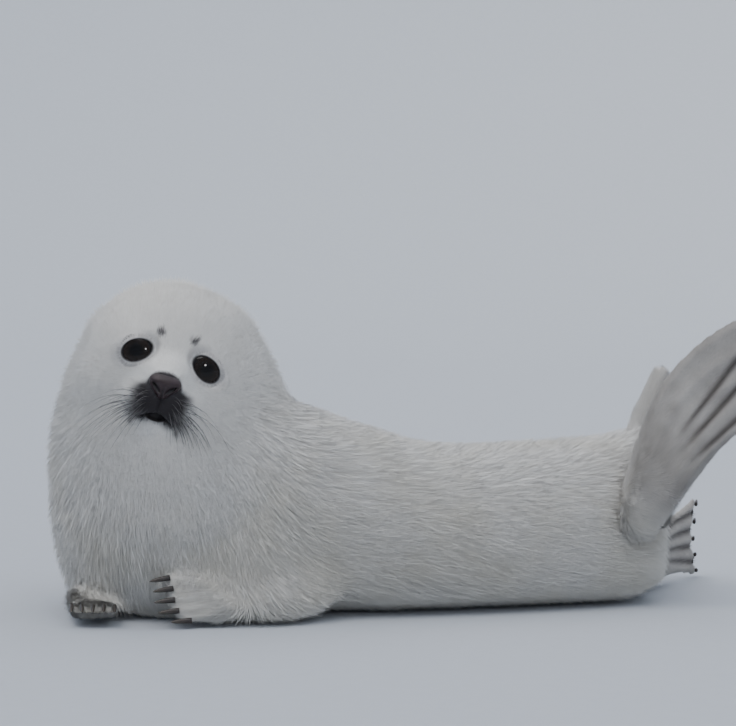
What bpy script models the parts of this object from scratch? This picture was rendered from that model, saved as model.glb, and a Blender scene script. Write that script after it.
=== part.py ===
"""A white-coated harp seal pup at life size, resting on its belly with its head raised.

The forebody and the head turn towards -Y, the trunk runs along +X, the left hind flipper is
lifted and the right one stands on its edge on the floor. The floor is z = 0 and the origin
is the middle of the pup's footprint box. Lengths are metres, angles degrees. The solids
reach to the tips of the coat. The body is modelled whole and then parted with thin cuts.
"""

import math

import bmesh
import bpy
import numpy as np
from mathutils import Matrix, Vector

# ---- driving dimensions ----------------------------------------------------------------
GAP = 0.0003  # between two pieces that touch
FLOOR_DIP = 0.004  # how far the belly is drawn below the floor before it is cut flat

# Trunk sections from chest to rump: x, y of the middle, height of the back, half width.
TRUNK_SECTIONS = (
    (-0.215, -0.010, 0.215, 0.108),
    (-0.125, 0.012, 0.242, 0.116),
    (-0.032, 0.026, 0.205, 0.115),
    (0.062, 0.040, 0.176, 0.110),
    (0.162, 0.058, 0.174, 0.103),
    (0.264, 0.078, 0.180, 0.089),
)
RUMP_LENGTH = 0.060  # from the last section to the end of the body
SECTION_WIDEST = 0.42  # share of the height at which a section is widest
BACK_SQUARENESS = 2.1  # exponent of a section above that, where 2 is an ellipse
BELLY_SQUARENESS = 2.7
TRUNK_RINGS = 40
TRUNK_SIDES = 40

# The chest and neck stand as a column: height, x and y of the middle, half widths in x, y.
COLUMN_SECTIONS = (
    (-0.004, -0.2030, 0.014, 0.104, 0.076),
    (0.045, -0.2045, 0.004, 0.121, 0.106),
    (0.095, -0.2055, -0.002, 0.128, 0.118),
    (0.145, -0.2060, 0.002, 0.1305, 0.118),
    (0.195, -0.2060, 0.008, 0.1285, 0.112),
    (0.245, -0.2055, 0.010, 0.1180, 0.100),
    (0.295, -0.2060, 0.002, 0.0925, 0.082),
)
COLUMN_TOP = 0.042  # from the last section to the top
COLUMN_RINGS = 30
NAPE_CENTRE = (-0.126, 0.026, 0.160)
NAPE_HALF = (0.080, 0.086, 0.076)
SHOULDER_CENTRE = (-0.128, -0.056, 0.070)
SHOULDER_HALF = (0.074, 0.056, 0.074)
UPPER_ARM_CENTRE = (-0.112, -0.068, 0.030)
UPPER_ARM_HALF = (0.078, 0.054, 0.044)

# The head has its own frame: forward (out of the nose), left and up.
HEAD_CENTRE = (-0.2083, -0.005, 0.2525)
HEAD_YAW = 3.0  # turned to the pup's left
HEAD_PITCH = -5.0  # nose below level
HEAD_ROLL = 16.0  # left eye below the right one
CRANIUM_HALF = (0.088, 0.098, 0.097)
EYE_FORWARD = 0.0785  # middle of an eye's opening
EYE_SPREAD = 0.0379
EYE_HEIGHT = 0.022
EYE_OPENING = (0.0166, 0.0112)  # half length, half height
EYE_RADIUS = 0.0190
EYE_DEPTH = 0.0198  # from the opening back to the middle of the eyeball
EYE_TURN = 20.0  # an eye looks out to its side
EYE_SLANT = 33.0  # its outer corner is lower
NOSE_FORWARD = 0.1085
NOSE_HEIGHT = 0.001
NOSE_HALF = (0.0085, 0.0165, 0.0120)
PAD_FORWARD = 0.090
PAD_SPREAD = 0.0165
PAD_HEIGHT = -0.020
PAD_HALF = (0.027, 0.0225, 0.0195)
CHIN_FORWARD = 0.080
CHIN_HEIGHT = -0.043
CHIN_HALF = (0.024, 0.026, 0.016)
BRIDGE_FORWARD = 0.064
BRIDGE_HEIGHT = 0.004
BRIDGE_HALF = (0.048, 0.029, 0.027)
MUZZLE_FORWARD = 0.064
MUZZLE_HEIGHT = -0.022
MUZZLE_HALF = (0.045, 0.044, 0.032)
CHEEK_SPREAD = 0.048
CHEEK_HEIGHT = -0.022
CHEEK_HALF = (0.052, 0.050, 0.052)
MOUTH_FORWARD = 0.110
MOUTH_HEIGHT = -0.0310
MOUTH_HALF = (0.012, 0.0085, 0.0045)

TAIL_BASE_CENTRE = (0.268, 0.084, 0.118)
TAIL_BASE_HALF = (0.052, 0.060, 0.066)
TAIL_ROOT = (0.288, 0.089, 0.146)
TAIL_TIP = (0.3190, 0.100, 0.2365)
TAIL_RADII = (0.031, 0.0140)
TAIL_FLARE = 0.45  # under 1 draws the tail in quickly above its root
TAIL_BREADTH = (1.6, 1.2)  # width for each unit of depth at the root and the tip

TORSO_VOXEL = 0.006
TORSO_SMOOTHING = 16
BODY_VOXEL = 0.004
BODY_SMOOTHING = 7
BODY_TRIANGLES = 2700

# Planes that part the body: a point on the plane and its normal.
SHOULDER_CUT = ((-0.072, 0.0, 0.1), (0.97, 0.22, 0.10))
HIP_CUT = ((0.165, 0.0, 0.1), (0.98, 0.20, 0.0))
NECK_CUT = ((-0.20, -0.10, 0.122), (0.05, -0.26, 0.96))
HEAD_CUT = ((-0.20, -0.10, 0.186), (0.03, -0.50, 0.86))
TAIL_CUT = ((0.300, 0.094, 0.180), (0.22, 0.08, 0.97))

# Each flipper: where its root is, which way it points and which way its back faces, its
# length, half widths and half thicknesses (root, end), the share of the length that the
# first, middle and last digits reach, how far it curls and how far it bends in its plane, and
# how far its midline bows towards its first digit.
# A high fan keeps it narrow until near its end.
FLIPPERS = {
    "hind_flipper_left": dict(
        root=(0.2610, 0.000, 0.066), along=(0.56, -0.03, 0.83), back=(-0.12, -0.98, 0.10),
        length=0.290, half_width=(0.034, 0.066), half_thick=(0.031, 0.0045),
        reach=(0.95, 0.86, 1.0), curl=8.0, bend=-52.0, bow=0.014, fan=1.0, grid=(12, 15),
    ),
    "hind_flipper_right": dict(
        root=(0.276, 0.094, 0.032), along=(0.62, 0.76, 0.10), back=(0.78, -0.62, 0.0),
        length=0.186, half_width=(0.031, 0.048), half_thick=(0.027, 0.0045),
        reach=(0.95, 0.88, 1.0), curl=-6.0, bend=-5.0, bow=0.0, fan=2.2, grid=(9, 13),
    ),
    "fore_flipper_left": dict(
        root=(-0.085, -0.090, 0.036), along=(-0.97, -0.20, -0.07), back=(-0.18, -0.93, 0.30),
        length=0.130, half_width=(0.030, 0.026), half_thick=(0.024, 0.0070),
        reach=(1.0, 0.95, 0.80), curl=4.0, bend=6.0, bow=0.0, fan=1.2, grid=(9, 13),
    ),
    "fore_flipper_right": dict(
        root=(-0.292, -0.006, 0.026), along=(0.16, -0.97, -0.12), back=(0.0, -0.12, 0.98),
        length=0.126, half_width=(0.026, 0.025), half_thick=(0.022, 0.0070),
        reach=(0.84, 0.96, 1.0), curl=4.0, bend=-4.0, bow=0.0, fan=1.2, grid=(9, 13),
    ),
}
DIGITS = 5
DIGIT_RIDGE = 0.0042
CLAW_LENGTHS = {"fore": 0.016, "hind": 0.010}
CLAW_RADII = {"fore": 0.0027, "hind": 0.0021}
CLAW_DROP = {"fore": -0.0006, "hind": 0.0025}  # of the tip below the claw's line

COAT = ((0.86, 0.85, 0.81, 1.0), 0.85, 0.0)
FLIPPER = ((0.60, 0.57, 0.53, 1.0), 0.80, 0.0)
EYE = ((0.012, 0.009, 0.008, 1.0), 0.06, 0.0)
NOSE = ((0.025, 0.022, 0.024, 1.0), 0.45, 0.0)
CLAW = ((0.045, 0.038, 0.034, 1.0), 0.40, 0.0)


# ---- helpers ---------------------------------------------------------------------------
def clear_scene():
    for obj in list(bpy.data.objects):
        bpy.data.objects.remove(obj)


def material(name, look):
    colour, roughness, metallic = look
    made = bpy.data.materials.new(name)
    made.use_nodes = True
    shader = made.node_tree.nodes["Principled BSDF"]
    shader.inputs["Base Color"].default_value = colour
    shader.inputs["Roughness"].default_value = roughness
    shader.inputs["Metallic"].default_value = metallic
    return made


def collection(name, helper=False):
    made = bpy.data.collections.new(name)
    bpy.context.scene.collection.children.link(made)
    made.hide_render = helper
    return made


def object_from(bm, name, into):
    mesh = bpy.data.meshes.new(name)
    bm.to_mesh(mesh)
    bm.free()
    obj = bpy.data.objects.new(name, mesh)
    into.objects.link(obj)
    return obj


def baked(obj, into, name):
    """A plain mesh object holding what obj's modifiers make of it; obj is removed."""
    graph = bpy.context.evaluated_depsgraph_get()
    mesh = bpy.data.meshes.new_from_object(obj.evaluated_get(graph))
    mesh.transform(obj.matrix_world)
    bpy.data.objects.remove(obj)
    made = bpy.data.objects.new(name, mesh)
    mesh.name = name
    into.objects.link(made)
    return made


def add_ellipsoid(bm, place, half, segments=32, rings=20):
    """An ellipsoid of the given half axes, with its frame at place, a 4x4 matrix."""
    scale = Matrix.Diagonal((*half, 1.0))
    bmesh.ops.create_uvsphere(
        bm, u_segments=segments, v_segments=rings, radius=1.0, matrix=place @ scale
    )


def add_loft(bm, rings):
    """A closed tube through rings of points that all have the same count."""
    made = [[bm.verts.new(point) for point in ring] for ring in rings]
    count = len(made[0])
    for lower, upper in zip(made, made[1:]):
        for k in range(count):
            after = (k + 1) % count
            bm.faces.new((lower[k], lower[after], upper[after], upper[k]))
    bm.faces.new(made[0][::-1])
    bm.faces.new(made[-1])


def smooth_between(keys, u):
    """The row at u, from 0 to 1, on a smooth curve through evenly spaced key rows."""
    last = len(keys) - 1
    at = min(u * last, last - 1e-9)
    k = int(at)
    f = at - k
    before, here, there, beyond = (
        np.array(keys[min(max(n, 0), last)]) for n in (k - 1, k, k + 1, k + 2)
    )
    return 0.5 * (
        2 * here
        + (there - before) * f
        + (2 * before - 5 * here + 4 * there - beyond) * f**2
        + (3 * here - before - 3 * there + beyond) * f**3
    )


def superellipse(angle, exponent):
    c, s = math.cos(angle), math.sin(angle)
    return (
        math.copysign(abs(c) ** (2 / exponent), c),
        math.copysign(abs(s) ** (2 / exponent), s),
    )


def frame_of(origin, along, back):
    """A matrix with x along, z towards back and the origin given."""
    x = Vector(along).normalized()
    z = Vector(back)
    z = (z - x * z.dot(x)).normalized()
    y = z.cross(x)
    made = Matrix((x, y, z)).transposed().to_4x4()
    made.translation = Vector(origin)
    return made


def at(point):
    return Matrix.Translation(Vector(point))


# ---- the body, whole -------------------------------------------------------------------
def add_trunk(bm):
    """The trunk: superelliptic sections along the back, closed by a round rump."""
    rings = []
    low = SECTION_WIDEST
    for k in range(TRUNK_RINGS + 1):
        u = k / TRUNK_RINGS
        x, y, back, half_width = smooth_between(TRUNK_SECTIONS, u)
        dx, dy = (
            smooth_between(TRUNK_SECTIONS, min(u + 0.01, 1.0))
            - smooth_between(TRUNK_SECTIONS, max(u - 0.01, 0.0))
        )[:2]
        across = Vector((-dy, dx, 0.0)).normalized()
        full = back + FLOOR_DIP
        middle = Vector((x, y, back - full * (1 - low)))
        ring = []
        for n in range(TRUNK_SIDES):
            angle = 2 * math.pi * n / TRUNK_SIDES
            upper = math.sin(angle) > 0
            c, s = superellipse(angle, BACK_SQUARENESS if upper else BELLY_SQUARENESS)
            height = full * ((1 - low) if upper else low) * s
            ring.append(middle + across * half_width * c + Vector((0, 0, height)))
        rings.append(ring)
    # The rump: the last ring drawn in towards its middle, like the end of an ellipsoid.
    last, onward = rings[-1], Vector((-across.y, across.x, 0)) * -RUMP_LENGTH
    for k in range(1, 10):
        turn = math.pi / 2 * k / 10
        size = math.cos(turn)
        shrink = Matrix.Diagonal((size, size, size**0.8))
        rings.append([middle + shrink @ (p - middle) + onward * math.sin(turn) for p in last])
    add_loft(bm, rings)


def add_column(bm):
    """The chest and neck: elliptic sections up from the floor, closed by a dome."""
    rings = []
    for k in range(COLUMN_RINGS + 1):
        z, x, y, rx, ry = smooth_between(COLUMN_SECTIONS, k / COLUMN_RINGS)
        rings.append(column_ring(z, x, y, rx, ry))
    z, x, y, rx, ry = COLUMN_SECTIONS[-1]
    for k in range(1, 10):
        turn = math.pi / 2 * k / 10
        size = math.cos(turn)
        rings.append(column_ring(z + COLUMN_TOP * math.sin(turn), x, y, rx * size, ry * size))
    add_loft(bm, rings)


def column_ring(z, x, y, rx, ry, sides=40):
    turns = [2 * math.pi * n / sides for n in range(sides)]
    return [Vector((x + rx * math.cos(a), y + ry * math.sin(a), z)) for a in turns]


def add_tail(bm):
    root, tip = Vector(TAIL_ROOT), Vector(TAIL_TIP)
    steps = 10
    for k in range(steps + 1):
        u = k / steps
        radius = TAIL_RADII[0] + (TAIL_RADII[1] - TAIL_RADII[0]) * u**TAIL_FLARE
        breadth = TAIL_BREADTH[0] + (TAIL_BREADTH[1] - TAIL_BREADTH[0]) * u
        half = (radius, radius * breadth, radius)
        add_ellipsoid(bm, at(root.lerp(tip, u)), half, 16, 10)


def head_frame():
    """The head's frame in the world: x forward, y left, z up."""
    forward = Vector((0, -1, 0))
    frame = Matrix((forward, Vector((1, 0, 0)), Vector((0, 0, 1)))).transposed()
    turn = (
        Matrix.Rotation(math.radians(HEAD_YAW), 3, "Z")
        @ frame
        @ Matrix.Rotation(math.radians(-HEAD_PITCH), 3, "Y")
        @ Matrix.Rotation(math.radians(-HEAD_ROLL), 3, "X")
    ).to_4x4()
    turn.translation = Vector(HEAD_CENTRE)
    return turn


HEAD = head_frame()


def on_head(forward, left, up):
    return HEAD @ at((forward, left, up))


def add_skull(bm):
    """Cranium and cheeks."""
    add_ellipsoid(bm, HEAD, CRANIUM_HALF, 48, 32)
    for side in (1, -1):
        cheek = on_head(0.028, side * CHEEK_SPREAD, CHEEK_HEIGHT)
        add_ellipsoid(bm, cheek, CHEEK_HALF)


def add_muzzle(bm):
    """Bridge of the nose, muzzle, whisker pads and chin."""
    add_ellipsoid(bm, on_head(BRIDGE_FORWARD, 0, BRIDGE_HEIGHT), BRIDGE_HALF)
    add_ellipsoid(bm, on_head(MUZZLE_FORWARD, 0, MUZZLE_HEIGHT), MUZZLE_HALF)
    add_ellipsoid(bm, on_head(CHIN_FORWARD, 0, CHIN_HEIGHT), CHIN_HALF)
    for side in (1, -1):
        add_ellipsoid(bm, on_head(PAD_FORWARD, side * PAD_SPREAD, PAD_HEIGHT), PAD_HALF)


def remeshed(obj, voxel, smoothing):
    made = obj.modifiers.new("Remesh", "REMESH")
    made.mode = "VOXEL"
    made.voxel_size = voxel
    soft = obj.modifiers.new("Smooth", "SMOOTH")
    soft.factor = 0.5
    soft.iterations = smoothing
    return obj


def whole_body(helpers):
    """The pup without its flippers, eyes and nose, as one closed mesh."""
    bm = bmesh.new()
    add_trunk(bm)
    add_column(bm)
    add_skull(bm)
    for centre, half in (
        (NAPE_CENTRE, NAPE_HALF),
        (SHOULDER_CENTRE, SHOULDER_HALF),
        (UPPER_ARM_CENTRE, UPPER_ARM_HALF),
        (TAIL_BASE_CENTRE, TAIL_BASE_HALF),
    ):
        add_ellipsoid(bm, at(centre), half, 40, 28)
    torso = remeshed(object_from(bm, "torso_form", helpers), TORSO_VOXEL, TORSO_SMOOTHING)
    torso = baked(torso, helpers, "torso_form")

    bm = bmesh.new()
    bm.from_mesh(torso.data)
    bpy.data.objects.remove(torso)
    add_muzzle(bm)
    add_tail(bm)
    body = remeshed(object_from(bm, "body_form", helpers), BODY_VOXEL, BODY_SMOOTHING)
    body = baked(body, helpers, "body_form")
    faces = sum(len(face.vertices) - 2 for face in body.data.polygons)
    fewer = body.modifiers.new("Decimate", "DECIMATE")
    fewer.ratio = BODY_TRIANGLES / faces
    return baked(body, helpers, "body_form")


# ---- cutting ---------------------------------------------------------------------------
def half_of(obj, plane, side, name, into):
    """The part of obj on one side of a plane, closed with a flat face; half a gap is lost."""
    point, normal = Vector(plane[0]), Vector(plane[1]).normalized() * side
    bm = bmesh.new()
    bm.from_mesh(obj.data)
    bmesh.ops.bisect_plane(
        bm,
        geom=bm.verts[:] + bm.edges[:] + bm.faces[:],
        dist=1e-6,
        plane_co=point + normal * (GAP / 2),
        plane_no=normal,
        clear_inner=True,
    )
    rim = [edge for edge in bm.edges if edge.is_boundary]
    bmesh.ops.holes_fill(bm, edges=rim, sides=0)
    bmesh.ops.recalc_face_normals(bm, faces=bm.faces[:])
    return object_from(bm, name, into)


def boolean(obj, cutter, operation):
    made = obj.modifiers.new("Boolean", "BOOLEAN")
    made.operation = operation
    made.solver = "EXACT"
    made.object = cutter


def grown(obj, by, name, into):
    """A copy of obj pushed out along its normals."""
    copy = bpy.data.objects.new(name, obj.data.copy())
    into.objects.link(copy)
    push = copy.modifiers.new("Displace", "DISPLACE")
    push.strength = by
    push.mid_level = 0.0
    return baked(copy, into, name)


# ---- flippers and claws ----------------------------------------------------------------
def digit_places():
    """Where the digits lie across a flipper, from -1 to 1."""
    return [-0.86 + 1.72 * k / (DIGITS - 1) for k in range(DIGITS)]


def digit_ridge(t):
    return sum(math.exp(-(((t - place) / 0.125) ** 2)) for place in digit_places())


def flipper_point(spec, s, t, side):
    """A point of a flipper's skin in its own frame: x along, y across, z out of its back.

    s runs from the rounded root, 0, to the tips, 1; t runs across from -1 to 1.
    """
    first, middle, last = spec["reach"]
    edge = (first * (1 - t) + last * (1 + t)) / 2
    reach = middle + (edge - middle) * abs(t) ** 1.6
    reach += 0.035 * (digit_ridge(t) - 0.6) * s**3 - 0.05 * abs(t) ** 8
    along = spec["length"] * s * (1 + (reach - 1) * s**2)
    start = math.sqrt(max(0.0, 1 - (1 - min(s / 0.24, 1.0)) ** 2))
    end = math.sqrt(max(0.0, 1 - max(0.0, (s - 0.90) / 0.10) ** 2.5))
    w0, w1 = spec["half_width"]
    spread = min(max((s - 0.25) / 0.75, 0.0), 1.0)
    across = t * start * (w0 + (w1 - w0) * spread ** spec["fan"])
    across += spec["bow"] * math.sin(math.pi * min(s, 1.0) ** 1.5)
    h0, h1 = spec["half_thick"]
    thin = min(max((s - 0.12) / 0.62, 0.0), 1.0)
    thin = thin * thin * (3 - 2 * thin)
    roundness = 2 + 5 * thin
    rim = math.sqrt(max(0.0, 1 - abs(t) ** roundness))
    thick = h0 + (h1 - h0) * thin + DIGIT_RIDGE * digit_ridge(t) * thin * (1 - 0.35 * s)
    z = side * thick * rim * start * end
    bend = math.radians(spec["bend"])
    curl = math.radians(spec["curl"])
    length = spec["length"]
    turn = bend * max(along / length - 0.5, 0.0) ** 1.3
    x = along * math.cos(turn * 0.5) - across * math.sin(turn)
    y = along * math.sin(turn * 0.5) + across * math.cos(turn)
    lift = curl * (max(x, 0.0) / length) ** 2
    return Vector((x - z * math.sin(lift), y, z * math.cos(lift) + x * math.sin(lift) * 0.5))


def flipper(name, spec, into):
    """A flipper as a closed pillow: two faces that meet along its rim."""
    place = frame_of(spec["root"], spec["along"], spec["back"])
    rows, columns = spec["grid"]
    bm = bmesh.new()
    for side in (1, -1):
        grid = []
        for i in range(rows + 1):
            s = i / rows
            row = []
            for j in range(columns):
                t = -1 + 2 * j / (columns - 1)
                row.append(bm.verts.new(place @ flipper_point(spec, s, t, side)))
            grid.append(row)
        for lower, upper in zip(grid, grid[1:]):
            for j in range(columns - 1):
                corners = (lower[j], upper[j], upper[j + 1], lower[j + 1])
                bm.faces.new(corners if side < 0 else corners[::-1])
    bmesh.ops.remove_doubles(bm, verts=bm.verts[:], dist=2e-5)
    bmesh.ops.recalc_face_normals(bm, faces=bm.faces[:])
    return object_from(bm, name, into)


def claw_line(spec, t, kind):
    """Root, middle and tip of a claw in the world, and the frame of its flipper."""
    place = frame_of(spec["root"], spec["along"], spec["back"])
    inner = (flipper_point(spec, 0.84, t, 1) + flipper_point(spec, 0.84, t, -1) * 0.3) / 1.3
    outer = (flipper_point(spec, 0.965, t, 1) + flipper_point(spec, 0.965, t, -1) * 0.3) / 1.3
    way = (outer - inner).normalized()
    root = outer - way * 0.004
    tip = root + way * CLAW_LENGTHS[kind] - Vector((0, 0, CLAW_DROP[kind]))
    middle = root.lerp(tip, 0.5) + Vector((0, 0, 0.0016))
    return [place @ point for point in (root, middle, tip)]


def claw(name, line, radius, into):
    """A tapered, slightly hooked claw: a curve tube, made a mesh and welded."""
    curve = bpy.data.curves.new(name, "CURVE")
    curve.dimensions = "3D"
    curve.bevel_depth = radius
    curve.bevel_resolution = 1
    curve.use_fill_caps = True
    spline = curve.splines.new("POLY")
    spline.points.add(len(line) - 1)
    for point, where, width in zip(spline.points, line, (1.0, 0.78, 0.16)):
        point.co = (*where, 1.0)
        point.radius = width
    tube = bpy.data.objects.new(name + "_line", curve)
    into.objects.link(tube)
    made = baked(tube, into, name)
    bm = bmesh.new()
    bm.from_mesh(made.data)
    bmesh.ops.remove_doubles(bm, verts=bm.verts[:], dist=1e-6)
    bmesh.ops.recalc_face_normals(bm, faces=bm.faces[:])
    bm.to_mesh(made.data)
    bm.free()
    return made


# ---- eyes, nose and mouth --------------------------------------------------------------
def eye_frame(side, depth):
    """The frame of an eye, x along its look, set back by depth from its opening."""
    turn = Matrix.Rotation(math.radians(side * EYE_TURN), 4, "Z")
    slant = Matrix.Rotation(math.radians(-side * EYE_SLANT), 4, "X")
    opening = on_head(EYE_FORWARD, side * EYE_SPREAD, EYE_HEIGHT)
    return opening @ turn @ slant @ at((-depth, 0, 0))


def ellipsoid_object(name, place, half, into, segments=16, rings=9):
    bm = bmesh.new()
    add_ellipsoid(bm, place, half, segments, rings)
    return object_from(bm, name, into)


def centre_on_floor(nodes):
    """Move everything so that the middle of the nodes' box is above the origin."""
    bpy.context.view_layer.update()
    graph = bpy.context.evaluated_depsgraph_get()
    corners = [
        Vector(corner) for obj in nodes for corner in obj.evaluated_get(graph).bound_box
    ]
    middle = [(min(c[k] for c in corners) + max(c[k] for c in corners)) / 2 for k in (0, 1)]
    shift = Matrix.Translation((-middle[0], -middle[1], 0.0))
    for obj in bpy.data.objects:
        obj.data.transform(shift)


def main():
    clear_scene()
    pup = collection("harp_seal_pup")
    helpers = collection("helpers", helper=True)
    looks = {
        "coat": material("coat", COAT),
        "hind": material("hind_flipper", FLIPPER),
        "eye": material("eye", EYE),
        "nose": material("nose", NOSE),
        "claw": material("claw", CLAW),
    }

    body = whole_body(helpers)
    floor = ((0, 0, -GAP / 2), (0, 0, 1))
    body = half_of(body, floor, 1, "body_form", helpers)
    front = half_of(body, SHOULDER_CUT, -1, "front_form", helpers)
    rear = half_of(body, SHOULDER_CUT, 1, "rear_form", helpers)
    upper = half_of(front, NECK_CUT, 1, "upper_form", helpers)
    hind = half_of(rear, HIP_CUT, 1, "hind_form", helpers)
    nodes = {
        "chest": half_of(front, NECK_CUT, -1, "chest", pup),
        "neck": half_of(upper, HEAD_CUT, -1, "neck", pup),
        "head": half_of(upper, HEAD_CUT, 1, "head", pup),
        "trunk": half_of(rear, HIP_CUT, -1, "trunk", pup),
        "rump": half_of(hind, TAIL_CUT, -1, "rump", pup),
        "tail": half_of(hind, TAIL_CUT, 1, "tail", pup),
    }

    # Eyes and nose sit in sockets of the head, and the mouth is a small opening.
    grow = np.array([GAP, GAP, GAP])
    ball = np.array([EYE_RADIUS] * 3)
    for side, name in ((1, "eye_left"), (-1, "eye_right")):
        place = eye_frame(side, EYE_DEPTH)
        nodes[name] = ellipsoid_object(name, place, ball, pup)
        socket = ellipsoid_object(name + "_socket", place, ball + grow, helpers)
        boolean(nodes["head"], socket, "DIFFERENCE")
        lids = ellipsoid_object(
            name + "_lids", eye_frame(side, 0), (0.014, *EYE_OPENING), helpers
        )
        boolean(nodes["head"], lids, "DIFFERENCE")
    nose_place = on_head(NOSE_FORWARD, 0, NOSE_HEIGHT)
    nodes["nose"] = ellipsoid_object("nose", nose_place, NOSE_HALF, pup)
    cutter = ellipsoid_object(
        "nose_socket", nose_place, np.array(NOSE_HALF) + grow, helpers
    )
    boolean(nodes["head"], cutter, "DIFFERENCE")
    mouth = ellipsoid_object(
        "mouth_opening", on_head(MOUTH_FORWARD, 0, MOUTH_HEIGHT), MOUTH_HALF, helpers
    )
    boolean(nodes["head"], mouth, "DIFFERENCE")

    # Flippers end against the body, and each claw sits in a socket of its digit.
    skin = grown(body, GAP, "body_skin", helpers)
    for name, spec in FLIPPERS.items():
        kind = name.split("_")[0]
        made = flipper(name + "_form", spec, helpers)
        made = half_of(made, floor, 1, name, pup)
        boolean(made, skin, "DIFFERENCE")
        nodes[name] = made
        side = name.split("_")[-1]
        for number, t in enumerate(digit_places(), start=1):
            claw_name = f"claw_{kind}_{side}_{number}"
            line = claw_line(spec, t, kind)
            nodes[claw_name] = claw(claw_name, line, CLAW_RADII[kind], pup)
            cutter = claw(claw_name + "_socket", line, CLAW_RADII[kind] + GAP, helpers)
            boolean(made, cutter, "DIFFERENCE")

    for name, obj in nodes.items():
        kind = name.split("_")[0]
        obj.data.materials.clear()
        obj.data.materials.append(looks.get(kind, looks["coat"]))
        obj.data.shade_smooth()
        obj.data.set_sharp_from_angle(angle=math.radians(50))
    centre_on_floor(nodes.values())


main()
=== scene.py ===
"""A white-coated harp seal pup: skin, coat, eyes, nose, claws and whiskers over its frame.

Lengths are metres. Head coordinates are forward, left and up from between the eyeballs.
"""

from math import ceil, cos, pi, radians, sin

import bmesh
import bpy
import numpy as np
from mathutils import Matrix, Vector
from mathutils.bvhtree import BVHTree
from numpy.linalg import norm


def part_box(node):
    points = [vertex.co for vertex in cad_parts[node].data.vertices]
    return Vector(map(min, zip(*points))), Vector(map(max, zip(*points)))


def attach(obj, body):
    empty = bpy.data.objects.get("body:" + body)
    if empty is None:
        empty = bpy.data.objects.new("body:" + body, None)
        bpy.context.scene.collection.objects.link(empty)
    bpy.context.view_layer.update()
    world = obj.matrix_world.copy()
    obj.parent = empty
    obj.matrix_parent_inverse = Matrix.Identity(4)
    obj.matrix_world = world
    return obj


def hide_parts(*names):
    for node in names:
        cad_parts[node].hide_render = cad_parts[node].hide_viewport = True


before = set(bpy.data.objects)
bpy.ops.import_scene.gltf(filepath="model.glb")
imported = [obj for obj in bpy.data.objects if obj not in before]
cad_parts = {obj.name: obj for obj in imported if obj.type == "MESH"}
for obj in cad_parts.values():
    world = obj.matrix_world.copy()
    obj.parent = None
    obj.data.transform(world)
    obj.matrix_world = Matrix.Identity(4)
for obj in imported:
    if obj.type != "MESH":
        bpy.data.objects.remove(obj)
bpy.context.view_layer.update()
rng = np.random.default_rng(7)

# ---- sizes
VOXEL = 0.0032  # of the skin before the face is refined
SWELL = 0.0004  # how far the flesh grows first, so that parts that touch join
FLOOR_GAP = 0.0003  # between the floor and the coat
SKIN_GAP = 0.0016  # between the floor and the skin
BODY_PASSES, BLEND_PASSES, JOIN_PASSES = 30, 40, 40  # of smoothing
FACE_PASSES, FLIPPER_PASSES, DEPTH_PASSES = 6, 3, 4
NOSE_BELOW_FORWARD = 23.4  # degrees from straight ahead down to the nose, at the eyes

# How deep the skin lies under the tips of the coat.
COAT_DEPTH = {
    "head": 0.0125,
    "neck": 0.0155,
    "chest": 0.0160,
    "trunk": 0.0155,
    "rump": 0.0145,
    "tail": 0.0055,
    "fore_flipper_left": 0.0034,
    "fore_flipper_right": 0.0034,
    "hind_flipper_left": 0.0018,
    "hind_flipper_right": 0.0018,
}
ROOT_DEPTH = {"fore": 0.0095, "hind": 0.0048}  # of the coat where a flipper leaves the body
RAISED = "hind_flipper_left"
FOLD = 0.0055  # how far the skin sinks round the root of the raised flipper
# The grooves between a flipper's digits: where they start, behind its middle, as a share of
# the way from there to the claws; how far apart they start, where 1 is as far as they end.
GROOVE_START = {"fore": 0.35, "hind": 0.62}
GROOVE_FAN = 0.50
GROOVE_WIDTH = (0.0030, 0.0040)
GROOVE_SHARE = {"fore": 0.2, "hind": 1.0}
GROOVE_DEPTH = 0.0021
# On the face: distance from the middle of the muzzle, and depth there.
FACE_DEPTH = ((0.0, 0.0014), (0.034, 0.0018), (0.055, 0.0034), (0.085, 0.0066), (0.14, 0.0160))
MUZZLE = np.array([0.040, 0.0, -0.032])  # head coordinates
HEAD_HEART = np.array([-0.055, 0.0, -0.010])  # head coordinates

COAT_TUFTS = 352000
PIECE_TUFTS = 47000  # at most, in a piece of the coat
FINE_SHARE = 0.30  # of the tufts are fine strands that stand out of the mass
FINE_TALL, MASS_TALL = (0.84, 1.16), (0.70, 0.84)  # tips over the skin, in coat depths
FINE_WIDTH = 0.30  # of the width of other tufts
TUFT_LEAN = (2.2, 2.4)  # reach for its height, on the body and where the coat is short
TUFT_WIDTH = (0.00050, 0.00120)  # at the root, in a short and in a deep coat
TUFT_ROOT_SHADE_TIP_LIGHT = (0.94, 0.94, 1.0, 1.03)  # at its four corners: root, root, ridge and tip; painted shade at the roots, painted light at the tip
PATCH = 0.003  # of a tuft in the OFBake map
# The way the coat lies: down the chest, back along the trunk, and out from the nose.
LIE_DOWN = np.array([0.26, 0.16, -1.0])
LIE_BACK = np.array([1.0, 0.12, -0.16])
PARTING = (0.030, 0.0, -0.014)  # where the coat of the face runs out from; head coordinates

EYE_SPOT = 20.0  # degrees out to the side, on the CAD eyeball, of the opening's middle
EYE_LOOK = 9.0  # degrees that an eye looks out to its side
EYE_RAISE = 10.5  # degrees that it looks up
EYE_SLANT = 33.0  # degrees that its outer corner hangs
EYE_SLIT = (0.0140, 0.0103)  # half length and half height of the opening
EYEBALL = (0.0090, 0.0190)  # half axes along the look and across it
EYE_APEX = 0.0178  # from the middle of the CAD eyeball to the front of the eye
INNER_CORNER = 1.10  # how much longer the opening is towards the nose
LID = 0.0013
LID_REACH = 0.034  # from an eye's axis to the end of its lids
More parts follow.
